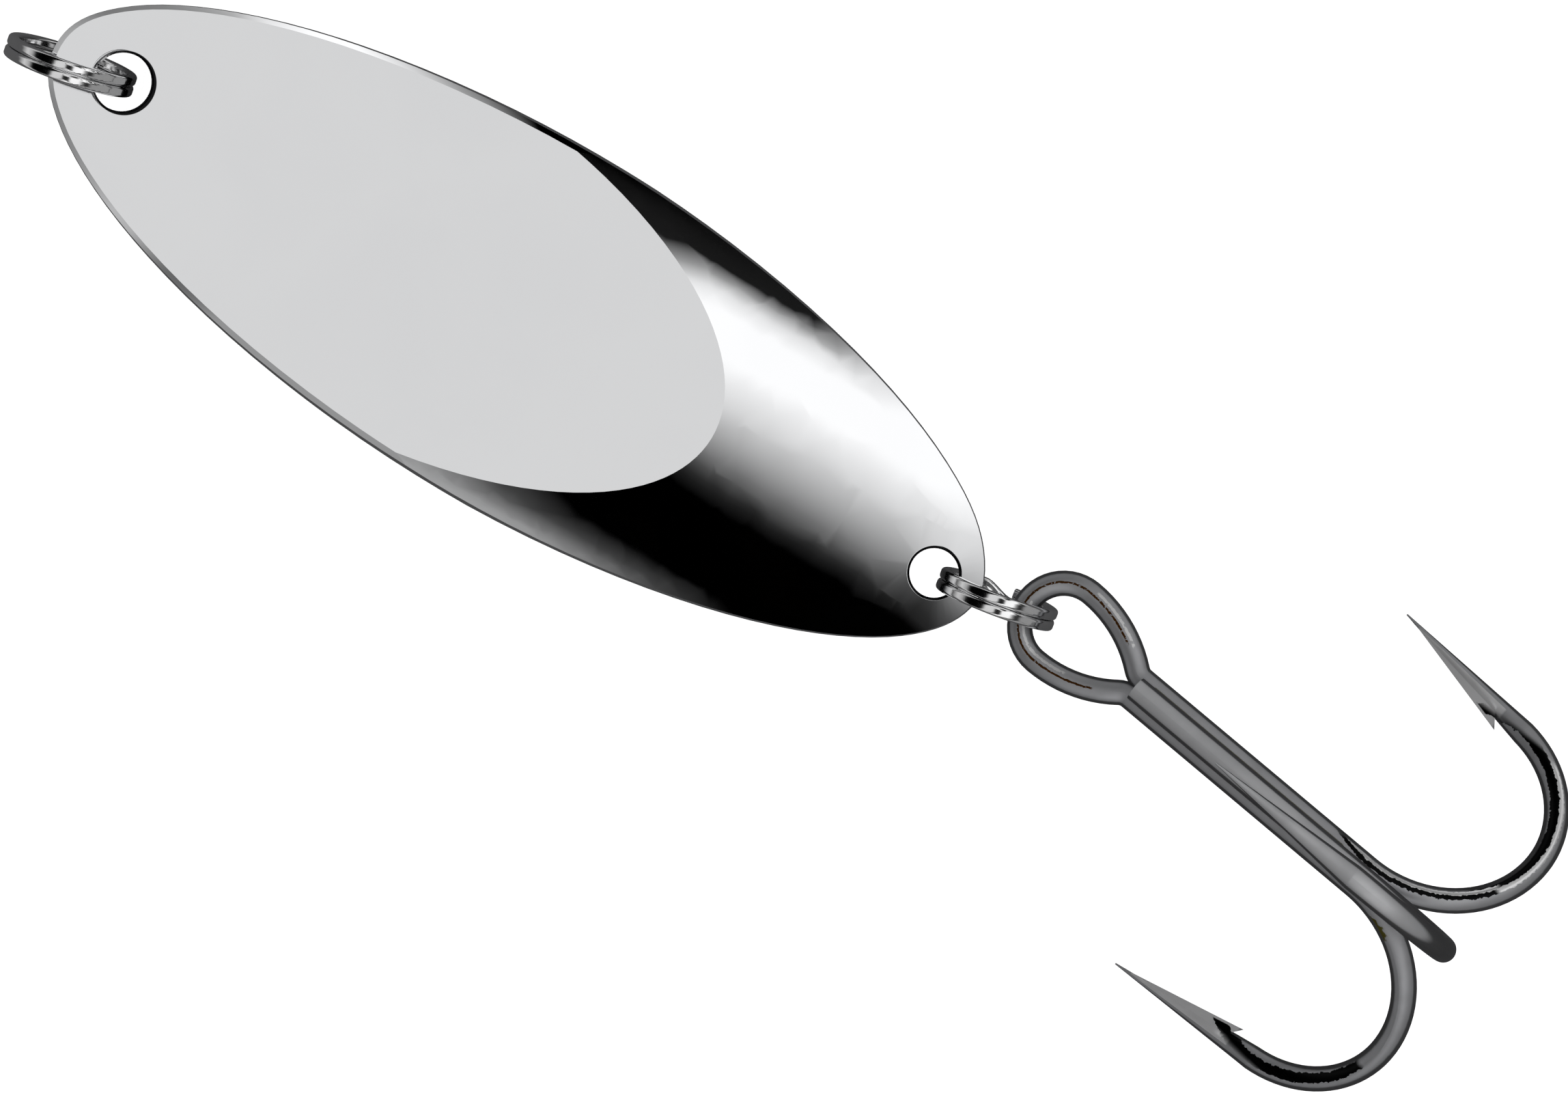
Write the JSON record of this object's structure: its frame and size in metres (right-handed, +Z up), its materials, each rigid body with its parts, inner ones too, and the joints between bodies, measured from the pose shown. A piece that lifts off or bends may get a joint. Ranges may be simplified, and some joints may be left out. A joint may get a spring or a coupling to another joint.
{
  "type": "spoon lure",
  "caption": "Solid metal spoon lure with a polished flat face, a sloping curved back end, a split ring at each end and a treble hook on the tail ring.",
  "frame": {"origin": "bottom centre of the whole lure's box as it lies, rings on edge and hook straight behind the spoon; the floor is z = 0", "axes": "+X from the spoon's head to the hook, +Y across the spoon, +Z up from its lower flat to its upper flat"},
  "size_m": [0.1232, 0.0336, 0.03],
  "materials": {
    "spoon_chrome": "polished chrome plate over solid brass",
    "ring_nickel": "bright nickel plated spring steel",
    "hook_steel": "black nickel plated hook wire with a faint bronze tint",
    "braze_metal": "brazed seam under the hook's dark plating"
  },
  "bodies": {
    "spoon": {"spoon_body": "spoon_chrome"},
    "line_ring": {"line_split_ring": "ring_nickel"},
    "hook_ring": {"hook_split_ring": "ring_nickel"},
    "treble": {"treble_double_hook": "hook_steel", "treble_single_hook": "hook_steel", "treble_braze": "braze_metal"}
  },
  "joints": [
    {"name": "line_ring_swing", "type": "hinge", "parent": "spoon", "child": "line_ring", "pos_m": [-0.05272, 0.00212, 0.00544], "axis": [-0.1969, 0.9679, 0.1564], "range_deg": [-35, 32]},
    {"name": "hook_ring_turn", "type": "hinge", "parent": "spoon", "child": "hook_ring", "pos_m": [0.01845, 0.00285, 0.00508], "axis": [-0.1812, 0.9779, 0.1045], "range_deg": [-85, 110]},
    {"name": "treble_swing", "type": "hinge", "parent": "hook_ring", "child": "treble", "pos_m": [0.02232, 0.00348, 0.00586], "axis": [-0.174, -0.1365, 0.9752], "range_deg": [-65, 65]}
  ]
}
